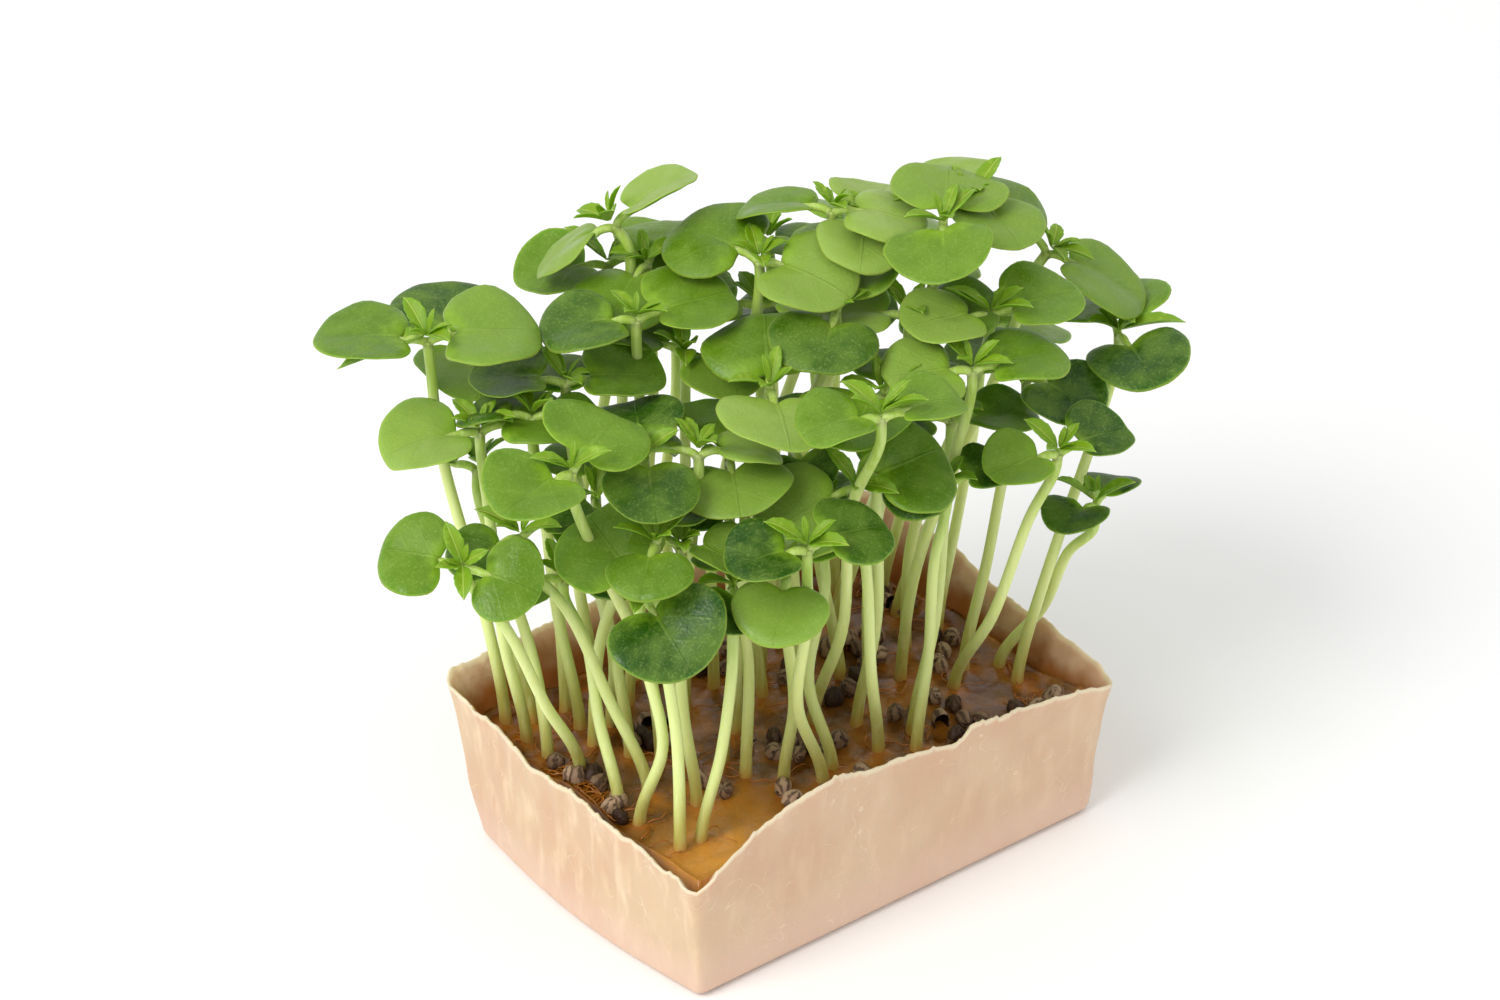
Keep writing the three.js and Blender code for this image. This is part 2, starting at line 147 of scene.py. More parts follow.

# Leaves are painted lighter, on the whole, from this height up and over so many millimetres: painted
# light on the high leaves and painted shade on the low ones
PAINTED_SHADE_BELOW = 44
PAINTED_LIGHT_OVER = 30

# The young leaves on each side of a head: turn in radians, length and rise
YOUNG_LEAVES = ((0.6, 4.4, 0.4), (1.7, 2.9, 0.8), (2.4, 1.6, 1.6))

# Young leaves already grown large: the seedling's row counted from 0, direction in degrees,
# length and rise
TRUE_LEAVES = ((0, 150, 9.5, -0.25), (29, 318, 7.0, 0.35), (26, 300, 4.5, 0.6), (6, 120, 5.0, 0.5))

# One row for each seedling: root x and y; tip x, y and z; turn of the first seed leaf; lean of
# the head and the direction it leans to, in degrees; size of the leaves
SEEDLINGS = (
    # Left end, leaning out over the rim
    (-26, 18, -33, 20, 65, 150, 10, 215, 1.05),
    (-23, 17, -27, 24, 61, 60, 6, 230, 1.02),
    (-26, 14, -30, 15, 55, 150, 10, 230, 0.90),
    (-26, 10, -28, 19, 48, 140, 16, 51, 0.65),
    (-26, 4, -40, 4, 47, 120, 38, 231, 0.70),
    (-26, -3, -30, 1, 43, 165, 12, 230, 0.82),
    (-22, -3, -33, 4, 48, 185, 8, 230, 0.70),
    (-21, 8, -21, -2, 56, 231, 16, 231, 0.85),
    (-17, 10, -24, 3, 50, 250, 16, 230, 0.85),
    (-20, 12, -26, 11, 57, 141, 12, 51, 0.62),
    # Middle left
    (-19, 4, -24, 8, 62, 145, 10, 230, 0.88),
    (-13, 12, -15, 7, 67, 340, 4, 240, 0.95),
    (-17, 1, -32, -4, 59, 200, 8, 230, 0.88),
    (-12, -4, -11, -4, 53, 235, 2, 230, 0.88),
    (-15, -1, -16, -5, 56, 140, 8, 51, 0.72),
    (-8, 8, -10, 5, 62, 300, 6, 230, 0.85),
    # Back left
    (-9, 16, -8, 20, 71, 141, 34, 125, 0.88),
    (-14, 17, -6, 24, 64, 145, 5, 230, 0.88),
    (-5, 16, -5, 18, 66, 20, 6, 200, 0.95),
    (-3, 9, -2, 2, 72, 110, 6, 230, 1.00),
    (0, 4, 1, 6, 64, 330, 10, 230, 0.90),
    # Back right
    (5, 16, 9, 3, 74, 135, 4, 51, 0.88),
    (9, 13, 16, 6, 69, 40, 6, 320, 0.80),
    (4, 9, 7, 0, 63, 40, 6, 230, 0.90),
    (14, 8, 17, -6, 73, 55, 6, 225, 0.92),
    (18, 12, 25, -2, 72, 76, 4, 240, 0.85),
    (24, 8, 33, -6, 65, 300, 30, 312, 1.12),
    (20, 2, 22, -8, 61, 330, 6, 240, 0.90),
    (10, -3, 14, -4, 62, 320, 6, 230, 0.85),
    # Right end
    (25, -12, 35, -16, 58, 240, 4, 235, 0.98),
    (15, -3, 16, -12, 58, 340, 8, 230, 0.88),
    (22, -6, 23, -14, 56, 290, 8, 230, 0.85),
    (18, -9, 21, -21, 50, 350, 20, 240, 0.72),
    (26, -8, 31, -17, 38, 25, 4, 51, 0.58),
    # Centre and front
    (-7, 0, -7, -6, 61, 60, 10, 230, 1.00),
    (5, -7, 5, -10, 58, 24, 4, 230, 0.90),
    (2, 0, -3, -5, 52, 51, 10, 230, 0.62),
    (3, -13, -1, -13, 50, 355, 24, 250, 1.00),
    (9, -12, 17, -8, 50, 320, 2, 230, 0.82),
    (1, -4, -2, -18, 61, 160, 2, 230, 0.75),
    (7, -15, 13, -12, 45, 340, 8, 230, 0.62),
    (-26, -7, -27, -9, 45, 262, 30, 240, 0.95),
    (-23, -14, -17, -12, 43, 45, 2, 230, 0.65),
    (-9, -11, -13, -16, 45, 35, 18, 230, 0.82),
    (-6, -14, -11, -17, 48, 355, 10, 230, 0.75),
    (-26, -14, -25, -9, 50, 40, 8, 230, 0.72),
    (-19, -8, -20, -7, 47, 100, 8, 230, 0.60),
    (-12, -8, -13, -9, 50, 130, 8, 230, 0.60),
    (-3, -12, -4, -11, 47, 20, 8, 230, 0.60),
    # Behind
    (12, 17, 14, 20, 62, 100, 12, 70, 0.95),
    (21, 16, 25, 19, 60, 40, 12, 50, 0.95),
    (0, 17, 3, 24, 59, 60, 14, 80, 0.90),
    (26, 13, 33, 11, 58, 20, 12, 20, 0.90),
    (-19, 16, -19, 23, 56, 100, 14, 100, 0.85),
    (10, 2, 12, 10, 58, 120, 6, 60, 0.85),
    (25, 2, 33, 4, 51, 350, 12, 10, 0.85),
)


def linear(red, green, blue):
    """A screen colour, its parts from 0 to 255, as the linear colour that a shader takes."""
    def part(value):
        share = value / 255
        return share / 12.92 if share <= 0.04045 else ((share + 0.055) / 1.055) ** 2.4

    return (part(red), part(green), part(blue), 1.0)


def colour_property(name, description, *parts):
    """A colour that the user can change."""
    return FloatVectorProperty(
        name=name, description=description, subtype="COLOR", size=4, min=0.0, max=1.0,
        default=linear(*parts),
    )


def length_property(name, description, millimetres):
    """A length that the user can change."""
    return FloatProperty(
        name=name, description=description, unit="LENGTH", min=0.0, precision=5,
        default=millimetres * MM,
    )


class Value:
    """A socket of a finish. Arithmetic on it adds Math nodes."""

    def __init__(self, finish, socket):
        self.finish = finish
        self.socket = socket

    def math(self, operation, first, second=0.0):
        return self.finish.node("ShaderNodeMath", {"operation": operation}, {0: first, 1: second})

    def __add__(self, other):
        return self.math("ADD", self, other)

    __radd__ = __add__

    def __sub__(self, other):
        return self.math("SUBTRACT", self, other)

    def __rsub__(self, other):
        return self.math("SUBTRACT", other, self)

    def __mul__(self, other):
        return self.math("MULTIPLY", self, other)

    __rmul__ = __mul__

    def __truediv__(self, other):
        return self.math("DIVIDE", self, other)

    def __abs__(self):
        return self.math("ABSOLUTE", self)

    def part(self):
        """What is left of the value after its whole number."""
        return self.math("FRACT", self)

    def rises(self, low, high):
        """0 below low and 1 above high, with a smooth step between them."""
        return self.finish.node(
            "ShaderNodeMapRange", {"interpolation_type": "SMOOTHSTEP"}, {0: self, 1: low, 2: high},
        )


def glow(weight, radius, scale):
    """How light spreads inside: how much, how far for each colour, and the scale of that."""
    return {
        "Subsurface Weight": weight, "Subsurface Radius": radius, "Subsurface Scale": scale * MM,
    }


class Finish:
    """A material under construction, with one shader."""

    def __init__(self, name, constants):
        self.material = bpy.data.materials.new(name)
        self.material.use_nodes = True
        self.tree = self.material.node_tree
        self.shader = self.tree.nodes["Principled BSDF"]
        for socket, value in constants.items():
            self.shader.inputs[socket].default_value = value

    def node(self, kind, settings, inputs, output=0):
        """Add a node: its settings first, then the values or links of its sockets."""
        made = self.tree.nodes.new(kind)
        for name, value in settings.items():
            setattr(made, name, value)
        for socket, value in inputs.items():
            if isinstance(value, Value):
                self.tree.links.new(value.socket, made.inputs[socket])
            else:
                made.inputs[socket].default_value = value
        return Value(self, made.outputs[output])

    def mark(self, name):
        """The number that each point of the mesh carries under this name."""
        return self.node("ShaderNodeAttribute", {"attribute_name": name}, {}, 2)

    def place(self, stretch=(1, 1, 1), turn=(0, 0, 0)):
        """Where on the object the surface is, stretched and turned."""
        spot = self.node("ShaderNodeTexCoord", {}, {}, 3)
        return self.node("ShaderNodeMapping", {}, {0: spot, 2: turn, 3: stretch})

    def grain(self, size, detail=2.0, place=None):
        """Cloudy noise around a half, its clouds about as wide as size in millimetres."""
        inputs = {"Vector": place or self.place(), "Scale": 1 / (size * MM), "Detail": detail}
        return self.node("ShaderNodeTexNoise", {}, inputs)

    def cells(self, size):
        """How far the surface is from the nearest of many points, about size apart."""
        inputs = {"Vector": self.place(), "Scale": 1 / (size * MM)}
        return self.node("ShaderNodeTexVoronoi", {}, inputs)

    def mix(self, share, first, second):
        """The first colour where the share is 0, and the second where it is 1."""
        settings = {"data_type": "RGBA"}
        return self.node("ShaderNodeMix", settings, {0: share, 6: first, 7: second}, 2)

    def tint(self, colour, share, *parts):
        """The colour with some of a screen colour over it, whose parts go from 0 to 255."""
        return self.mix(share, colour, linear(*parts))

    def bump(self, height, depth):
        """The normal of a surface that rises by depth, in millimetres, where height is 1."""
        inputs = {"Strength": 1.0, "Distance": depth * MM, "Height": height}
        return self.node("ShaderNodeBump", {}, inputs)

    def surface(self, colour, roughness, normal):
        """Link what changes over the surface, and give the material."""
        links = {"Base Color": colour, "Roughness": roughness, "Normal": normal}
        for socket, value in links.items():
            self.tree.links.new(value.socket, self.shader.inputs[socket])
        return self.material


def placed(name, data):
    """A new object in the scene."""
    made = bpy.data.objects.new(name, data)
    bpy.context.scene.collection.objects.link(made)
    return made


class Skin:
    """The points, faces and marks of one mesh, taken in piece by piece in millimetres."""

    def __init__(self, *marks):
        self.points = []
        self.faces = []
        self.finishes = []
        self.marks = {name: [] for name in marks}
        self.count = 0

    def add(self, points, faces, finish=0, **marks):
        """Take in a piece. A mark that isn't given is 0 on it."""
        self.faces += [tuple(int(i) + self.count for i in face) for face in faces]
        self.finishes += [finish] * len(faces)
        for name, values in self.marks.items():
            values.append(np.broadcast_to(np.asarray(marks.get(name, 0.0), float), len(points)))
        self.points.append(np.asarray(points, float))
        self.count += len(points)

    def build(self, name, slot, nodes, *materials):
        """Make the mesh, as a piece that stands for the given nodes."""
        mesh = bpy.data.meshes.new(name)
        mesh.from_pydata(np.concatenate(self.points) * MM, [], self.faces)
        mesh.polygons.foreach_set("material_index", self.finishes)
        for mark, values in self.marks.items():
            layer = mesh.attributes.new(mark, "FLOAT", "POINT")
            layer.data.foreach_set("value", np.concatenate(values))
        for material in materials:
            mesh.materials.append(material)
        mesh.shade_smooth()
        piece = placed(name, mesh)
        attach(piece, "root")
        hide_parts(*nodes)


def random_draw(seed):
    """The repeatable draw between 0 and 1 that the solids use."""
    state = seed

    def draw():
        nonlocal state
        state = (state + 0x6D2B79F5) & 0xFFFFFFFF
        mixed = ((state ^ (state >> 15)) * (1 | state)) & 0xFFFFFFFF
        mixed = (mixed + (mixed ^ (mixed >> 7)) * (61 | mixed)) & 0xFFFFFFFF ^ mixed
        return (mixed ^ (mixed >> 14)) / 4294967296

    return draw


def bumps(points, width, seed):
    """Smooth noise from about -1 to 1 at each point, its bumps about as wide as width."""
    shift = Vector((seed * 17.3, seed * 5.1, seed * 9.7))
    return np.array([noise.noise(Vector(point) / width + shift) for point in points])


def rings_between(rings, sides):
    """The faces of a tube of closed rings, numbered from 0."""
    row = sides * np.arange(rings - 1)[:, None]
    here = np.arange(sides)[None, :]
    after = (here + 1) % sides
    corners = (row + here, row + after, row + sides + after, row + sides + here)
    return np.stack(corners, -1).reshape(-1, 4)


def curve_points(through, places, closed=False):
    """Points on the smooth curve through some points, at places from 0 to 1 along it."""
    through = np.asarray(through, float)
    if closed:
        through = np.array([through[-1], *through, *through[:2]])
    else:
        ends = 2 * through[0] - through[1], 2 * through[-1] - through[-2]
        through = np.array([ends[0], *through, ends[1]])
    spans = len(through) - 3
    made = []
    for place in places:
        step = min(int(place * spans), spans - 1)
        share = place * spans - step
        before, start, end, after = near = through[step:step + 4]
        first, middle, last = [np.linalg.norm(q - p) ** 0.5 for p, q in zip(near, near[1:])]
        along = (end - start) / middle
        leaving = (start - before) / first - (end - before) / (first + middle) + along
        coming = along - (after - start) / (middle + last) + (after - end) / last
        leaving, coming = leaving * middle, coming * middle
        bend = 3 * (end - start) - 2 * leaving - coming
        twist = 2 * (start - end) + leaving + coming
        made.append(start + leaving * share + bend * share**2 + twist * share**3)
    return np.array(made)


def tube(path, radii, sides):
    """A closed tube along a path, as points and faces."""
    path = np.asarray(path, float)
    along = np.gradient(path, axis=0)
    along /= np.linalg.norm(along, axis=1)[:, None]
    guide = np.array((1.0, 0.0, 0.0)) if abs(along[:, 0]).max() < 0.9 else np.array((0.0, 1.0, 0.0))
    across = guide - along * (along @ guide)[:, None]
    across /= np.linalg.norm(across, axis=1)[:, None]
    up = np.cross(along, across)
    angle = 2 * np.pi * np.arange(sides) / sides
    ring = np.cos(angle)[None, :, None] * across[:, None] + np.sin(angle)[None, :, None] * up[:, None]
    points = path[:, None] + ring * np.broadcast_to(radii, len(path))[:, None, None]
    last = (len(path) - 1) * sides
    faces = [tuple(face) for face in rings_between(len(path), sides)]
    faces += [tuple(range(sides))[::-1], tuple(last + i for i in range(sides))]
    return points.reshape(-1, 3), faces


def blade(outline, centre, height, thickness):
    """A thin closed blade, as points, faces, shares of the way out, and 1 for its underside.

    The outline goes anticlockwise, height gives the level of each point of its middle, and
    the two sides meet in the outline.
    """
    shares = np.array((0.97, 0.91, 0.82, 0.71, 0.58, 0.44, 0.3, 0.16))
    count = len(outline)
    flat = [outline]
    out = [np.ones(count)]
    below = [np.full(count, 0.5)]
    for side in (0.0, 1.0):
        rings = centre + shares[:, None, None] * (outline - centre)
        flat += [rings.reshape(-1, 2), centre[None]]
        out += [np.repeat(shares, count), np.zeros(1)]
        below.append(np.full(len(shares) * count + 1, side))
    flat, out, below = np.concatenate(flat), np.concatenate(out), np.concatenate(below)
    level = height(flat[:, 0], flat[:, 1], out)
    level += thickness * (0.5 - below) * (1 - out**6) ** 0.5
    points = np.column_stack((flat, level))
    faces = []
    half = len(shares) * count + 1
    for side in (0, 1):
        starts = [0] + [count + side * half + ring * count for ring in range(len(shares))]
        middle = count + side * half + len(shares) * count
        for i in range(count):
            j = (i + 1) % count
            edges = [(a + i, a + j, b + j, b + i) for a, b in zip(starts, starts[1:])]
            edges.append((starts[-1] + i, starts[-1] + j, middle))
            faces += [edge[::-1] if side else edge for edge in edges]
    return points, faces, out, below


def moved(points, matrix):
    """The points moved by a matrix."""
    turn = np.array(matrix)
    return points @ turn[:3, :3].T + turn[:3, 3]


def pad_height(x, y):
    """The height of the pad's lumpy top."""
    broad = np.sin(x * 0.23 + 1.1) * np.cos(y * 0.29 - 0.6)
    return PAD_TOP + PAD_LUMP * (0.7 * broad + 0.3 * np.sin(x * 0.61 - y * 0.47))


def plan_size(low, high):
    """How long and how wide the box between two corners is, in millimetres."""
    return (high.x - low.x) / MM, (high.y - low.y) / MM


def outline_at(steps, inset, half_length, half_width, low=0.0):
    """The tray's outline in plan, at steps round from its near left corner.

    Where low is 1, at the foot, the left end bows outwards and the far left corner is rounder.
    """
    corners = ((-1, -1, 180), (1, -1, 270), (1, 1, 0), (-1, 1, 90))
    rounds = (0, 0, 0, FOOT_ROUND * low)
    places, spots = [], []
    place = 0
    for (sx, sy, start), side, corner, more in zip(corners, SIDE_STEPS, CORNER_RADII, rounds):
        radius = max(corner - inset, 1) + more
        x, y = half_length - inset - radius, half_width - inset - radius
        for share in np.linspace(0, 1, 13):
            angle = math.radians(start + 90 * share)
            places.append(place + CORNER_STEPS * share)
            spots.append((sx * x + radius * math.cos(angle), sy * y + radius * math.sin(angle)))
        place += CORNER_STEPS + side
    spots = np.array([*spots, spots[0]])
    places.append(place)
    made = np.column_stack([np.interp(steps, places, spots[:, axis]) for axis in (0, 1)])
    end = np.clip((steps - OUTLINE_STEPS) / SIDE_STEPS[-1] + 1, 0, 1)
    made[:, 0] -= END_BOW * low * np.sin(math.pi * end)
    return made


class ShellSettings(bpy.types.PropertyGroup):
    """The tray of pressed fibre"""

    fibre: colour_property("Fibre", "Colour of the pressed fibre", 212, 184, 152)
    blush: colour_property("Blush", "Colour of its warmer patches", 207, 168, 138)
    rim: colour_property("Rim", "Colour of the thin torn rim", 234, 222, 194)
    stain: colour_property("Stain", "Colour of the inside where the pad wets it", 168, 100, 42)
    rim_thickness: length_property("Rim thickness", "Thickness of the torn rim", 0.35)


class PadSettings(bpy.types.PropertyGroup):
    """The growing pad"""

    honey: colour_property("Honey", "Colour of the wet pad", 170, 104, 24)
    shade: colour_property("Shade", "Colour of its darker patches", 80, 42, 4)
    threads: IntProperty(
        name="Threads", description="Number of fine root threads on the pad", min=0, default=230,
    )
    # Painted light: the colour of the open near corner of the pad, painted paler where light falls on
    # it
    pale: colour_property("Pale", "Colour of the pad in the near corner", 216, 150, 60)


class HullSettings(bpy.types.PropertyGroup):
    """The seed hulls"""

    count: IntProperty(
        name="Count", description="Number of seed hulls on the pad", min=SOLID_HULLS, default=64,
    )
    radius: length_property("Radius", "Radius of a seed hull", 1.15)
    drift: IntProperty(
        name="Drift", description="Number of torn hulls in each drift by the rim", min=0, default=9,
    )
    husk: colour_property("Husk", "Colour of a seed hull", 190, 158, 128)
    dark: colour_property("Dark", "Colour of its stripes and splits", 46, 28, 18)


class SeedlingSettings(bpy.types.PropertyGroup):
    """The seedlings"""

    stem_radius: length_property("Stem radius", "Radius of a stem", 0.66)
    leaf_length: length_property("Leaf length", "Length of a seed leaf of size 1", 9.2)
    leaf_half_width: length_property("Leaf half width", "Half the width of a seed leaf", 6.8)
    blade: length_property("Blade", "Thickness of a seed leaf", 0.5)
    # Seed leaves run from deep green to pale green with their tone, which is partly random and partly
    # painted shade on low leaves and painted light on high ones
    green: colour_property("Green", "Colour of most seed leaves", 94, 132, 10)
    pale_green: colour_property("Pale green", "Colour of the palest seed leaves", 146, 174, 76)
    deep_green: colour_property("Deep green", "Colour of the darkest seed leaves", 34, 76, 0)
    underside: colour_property("Underside", "Colour below a seed leaf", 96, 138, 12)
    young: colour_property("Young", "Colour of the young leaves", 122, 156, 8)
    foot: colour_property("Foot", "Colour of a stem at its foot", 186, 178, 84)
    stem: colour_property("Stem", "Colour of a stem", 216, 228, 148)
    neck: colour_property("Neck", "Colour of a stem below its leaves", 166, 196, 78)


class StageSettings(bpy.types.PropertyGroup):
    """The floor, the lights and the camera"""

    floor: colour_property("Floor", "Colour of the floor", 252, 252, 251)
    lens: FloatProperty(name="Lens", description="Focal length", unit="CAMERA", default=100.0)
    azimuth: FloatProperty(
        name="Azimuth", description="Direction of the camera", subtype="ANGLE",
        default=math.radians(-39),
    )
    elevation: FloatProperty(
        name="Elevation", description="Height of the camera", subtype="ANGLE",
        default=math.radians(30),
    )
    distance: length_property("Distance", "Distance of the camera", 460)
    aim: FloatVectorProperty(
        name="Aim", description="What the camera looks at", subtype="XYZ", unit="LENGTH",
        default=(-3.0 * MM, 2.4 * MM, 42.3 * MM),
    )
    key: FloatProperty(name="Key", description="Power of the main light", unit="POWER", default=5.5)
    fill: FloatProperty(name="Fill", description="Power of the fill light", unit="POWER", default=0.5)
    sky: FloatProperty(name="Sky", description="Strength of the light all round", default=0.8)


def soft_light(name, spot, aim, size, power):
    """A large soft lamp."""
    data = bpy.data.lights.new(name, "AREA")
    data.shape = "DISK"
    data.size = size
    data.energy = power
    lamp = placed(name, data)
    lamp.location = spot
    lamp.rotation_euler = (Vector(spot) - Vector(aim)).to_track_quat("Z", "Y").to_euler()


class MICROGREENS_OT_stage(bpy.types.Operator):
    """Set up the floor, the soft lights and the camera"""

    bl_idname = "microgreens.stage"
    bl_label = "Stage"

    def execute(self, context):
        settings = context.scene.microgreens_stage
        scene = context.scene
        scene.view_settings.view_transform = "Standard"
        finish = Finish("pale_floor", {"Specular IOR Level": 0.2})
        mottle = finish.grain(40)
        floor_colour = tuple(settings.floor)
        paper = finish.mix(mottle * 0.2, floor_colour, linear(247, 247, 246))
        material = finish.surface(paper, 0.75 + 0.1 * mottle, finish.bump(finish.grain(2), 0.01))
        mesh = bpy.data.meshes.new("floor")
        sides, radius, below = 64, 4, 0.0001
        angle = 2 * np.pi * np.arange(sides) / sides
        flat = radius * np.cos(angle), radius * np.sin(angle), np.full(sides, -below)
        mesh.from_pydata(np.column_stack(flat), [], [tuple(range(sides))])
        mesh.materials.append(material)
        floor = placed("floor", mesh)

        world = bpy.data.worlds.new("soft_room")
        world.use_nodes = True
        background = world.node_tree.nodes["Background"]
        background.inputs["Color"].default_value = (1.0, 1.0, 1.0, 1.0)
        background.inputs["Strength"].default_value = settings.sky
        scene.world = world

        aim = Vector(settings.aim)
        soft_light("key", (-0.7, -0.08, 0.7), aim, 0.55, settings.key)
        soft_light("fill", (0.35, -0.75, 0.4), aim, 0.7, settings.fill)

        data = bpy.data.cameras.new("camera")
        data.lens = settings.lens
        data.clip_start = 0.01
        camera = placed("camera", data)
        level = math.cos(settings.elevation)
        back = Vector((
            math.sin(settings.azimuth) * level,
            -math.cos(settings.azimuth) * level,
            math.sin(settings.elevation),
        ))
        camera.location = aim + back * settings.distance
        camera.rotation_euler = back.to_track_quat("Z", "Y").to_euler()
        scene.camera = camera
        return {"FINISHED"}


def fibre_finish(settings):
    """Pressed fibre: pale, faintly waxy, with patches, flecks, lighter streaks that are partly painted
    highlights on its flutes, and a thin light rim.
    """
    inner = glow(0.35, (1.0, 0.55, 0.3), 1.6)
    finish = Finish("pressed_fibre", {**inner, "Specular IOR Level": 0.4})
    height = finish.mark("height")
    inside = finish.mark("inside")
    patches = finish.grain(11, 3).rises(0.38, 0.66)
    # Lighter streaks up the walls: partly streaks in the fibre, partly painted highlights along the
    # flutes, strongest at the left end
    streaks_and_flute_highlights = finish.grain(2.2, 3, finish.place((1, 1, 0.3))).rises(0.45, 0.8)
    colour = finish.mix(patches * 0.7, tuple(settings.fibre), tuple(settings.blush))
    colour = finish.tint(colour, streaks_and_flute_highlights * (0.3 + 0.5 * finish.mark("drips")), 236, 212, 180)
    colour = finish.tint(colour, (1 - height).rises(0.6, 1.0) * 0.6, 222, 190, 172)
    specks = (1 - finish.cells(3.6).rises(0.02, 0.05)) * finish.grain(9).rises(0.52, 0.62)
    colour = finish.tint(colour, specks * 0.35, 176, 122, 80)
    strands = finish.grain(3.2, 1, finish.place(turn=(0.4, 0.9, 0.2)))
    hairs = (1 - abs(strands - 0.5).rises(0.0, 0.012)) * finish.grain(5).rises(0.5, 0.62)
    colour = finish.tint(colour, hairs * 0.5, 240, 220, 192)
    edge = (height + 0.05 * finish.grain(1.4) - 0.02).rises(0.965, 1.0)
    colour = finish.mix(edge * 0.6, colour, tuple(settings.rim))
    damp = inside * (1 - (height + 0.3 * finish.grain(3.4) - 0.15).rises(0.74, 1.0))
    colour = finish.mix(damp, colour, tuple(settings.stain))
    fuzz = finish.grain(0.4, 3, finish.place((1, 1, 0.5), (0.3, 0.2, 0)))
    lumps = finish.grain(2.6, 3)
    normal = finish.bump(lumps + 0.16 * fuzz + 0.12 * hairs, 0.25)
    return finish.surface(colour, 0.48 + 0.2 * fuzz, normal)


class MICROGREENS_OT_shell(bpy.types.Operator):
    """Build the tray of pressed fibre, with its torn rim"""

    bl_idname = "microgreens.shell"
    bl_label = "Fibre Tray"

    def execute(self, context):
        settings = context.scene.microgreens_shell
        half_length, half_width = (side / 2 for side in plan_size(*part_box("fibre_tray")))
        fine = np.linspace(0, OUTLINE_STEPS, MEASURED_POINTS)
        path = outline_at(fine, 0, half_length, half_width)
        walked = np.concatenate(([0], np.cumsum(np.linalg.norm(np.diff(path, axis=0), axis=1))))
        count = ROUND_POINTS
        arc = np.linspace(0, walked[-1], count, endpoint=False)
        steps = np.interp(arc, walked, fine)

        places, lifts = zip(*RIM_STATIONS)
        lift = np.interp(steps / OUTLINE_STEPS, places, lifts)
        round_arc = np.column_stack((arc, np.zeros(count), np.zeros(count)))
        ragged = 0.3 * bumps(round_arc, 3.1, 1) + 0.35 * np.abs(bumps(round_arc, 1.3, 2))
        spikes = np.clip(bumps(round_arc, 0.6, 3) - 0.3, 0, 1)
        spikes *= 0.7 + 1.2 * np.abs(bumps(round_arc, 9, 9))
        rim = RIM_HEIGHT + lift + ragged + spikes
        flare = 0.5 + 0.6 * bumps(round_arc, 11, 4)
        last_side = steps > OUTLINE_STEPS - SIDE_STEPS[-1] - 1
        end = np.where(steps < CORNER_STEPS, 1 - steps / CORNER_STEPS, last_side)
        # The left end has deeper flutes; its drips mark also makes the painted highlights along the
        # flutes stronger
        drips = 0.12 + 0.42 * end
        thin = settings.rim_thickness / MM

        # Each loop: inset, height as millimetres up from the base and as a share of the rim,
        # share of the flare at the rim, and how far inside it is, up to 1
        bend = [(TRAY_TAPER + BASE_ROUND * (1 - math.sin(a)), BASE_ROUND * (1 - math.cos(a)), 0, 0, 0)
                for a in np.linspace(0, math.pi / 2, 6)]
        outer = [(TRAY_TAPER * (1 - h), BASE_ROUND * (1 - h), h, h**6, 0)
                 for h in np.linspace(0, 1, 34)[1:]]
        edge = [(thin * share, 0.12 * math.sin(math.pi * share), 1, 1, share) for share in (0.35, 0.7)]
        inner = [(thin + (WALL - thin + TRAY_TAPER * (1 - h)) * (1 - h**5), FLOOR * (1 - h), h, h**6, 1)
                 for h in np.linspace(1, 0, 30)]
        base = [(TRAY_TAPER + BASE_ROUND + FLAT_INSET, 0, 0, 0, 0)]
        floor = [(TRAY_TAPER + WALL + FLAT_INSET, FLOOR, 0, 0, 1)]
        points, heights, sides = [], [], []
        for inset, level, share, curl, inside in [*base, *bend, *outer, *edge, *inner, *floor]:
            spot = outline_at(steps, inset, half_length, half_width, 1 - share)
            ahead = outline_at(steps + AHEAD, inset, half_length, half_width, 1 - share)
            way = ahead - spot
            way /= np.linalg.norm(way, axis=1)[:, None]
            out = np.column_stack((way[:, 1], -way[:, 0]))
            z = level + share * rim
            where = np.column_stack((spot, z))
            flutes = bumps(np.column_stack((arc, z / 4, np.zeros(count))), 2.4, 5)
            dents = bumps(where, 6, 6)
            free = min(1, 3 * share)
            push = flare * curl + free * (0.38 * dents + drips * flutes)
            points.append(np.column_stack((spot + out * push[:, None], z)))
            heights.append(np.full(count, share))
            sides.append(np.full(count, inside))
        loops = len(points)
        faces = [tuple(face) for face in rings_between(loops, count)]
        faces += [tuple(range(count))[::-1], tuple((loops - 1) * count + i for i in range(count))]
        skin = Skin("height", "inside", "drips")
        skin.add(
            np.concatenate(points), faces, height=np.concatenate(heights),
            inside=np.concatenate(sides), drips=np.tile(end, loops),
        )
        skin.build("tray_shell", "pressed_fibre", ["fibre_tray"], fibre_finish(settings))
        return {"FINISHED"}


def pad_finish(settings):
    """A wet mat of fine roots and fibre, with painted light on its open near corner."""
    inner = glow(0.2, (1.0, 0.45, 0.15), 1.2)
    finish = Finish("wet_pad", {**inner, "Coat Weight": 0.22, "Coat Roughness": 0.15})
    clouds = finish.grain(6, 3).rises(0.36, 0.6)
    mottle = finish.grain(1.6, 3).rises(0.35, 0.7)
    colour = finish.mix(clouds * 0.85, tuple(settings.honey), tuple(settings.shade))
    colour = finish.tint(colour, mottle * 0.2, 176, 118, 50)
    # Painted light: the near corner of the pad is painted paler where light falls on it
    colour = finish.mix(finish.mark("pocket") * 0.9, colour, tuple(settings.pale))
    colour = finish.tint(colour, finish.mark("root") * 0.6, 186, 108, 30)
    height = finish.grain(2.8, 3) + 0.12 * finish.grain(0.6, 2)
    return finish.surface(colour, 0.25 + 0.2 * mottle, finish.bump(height, 0.3))


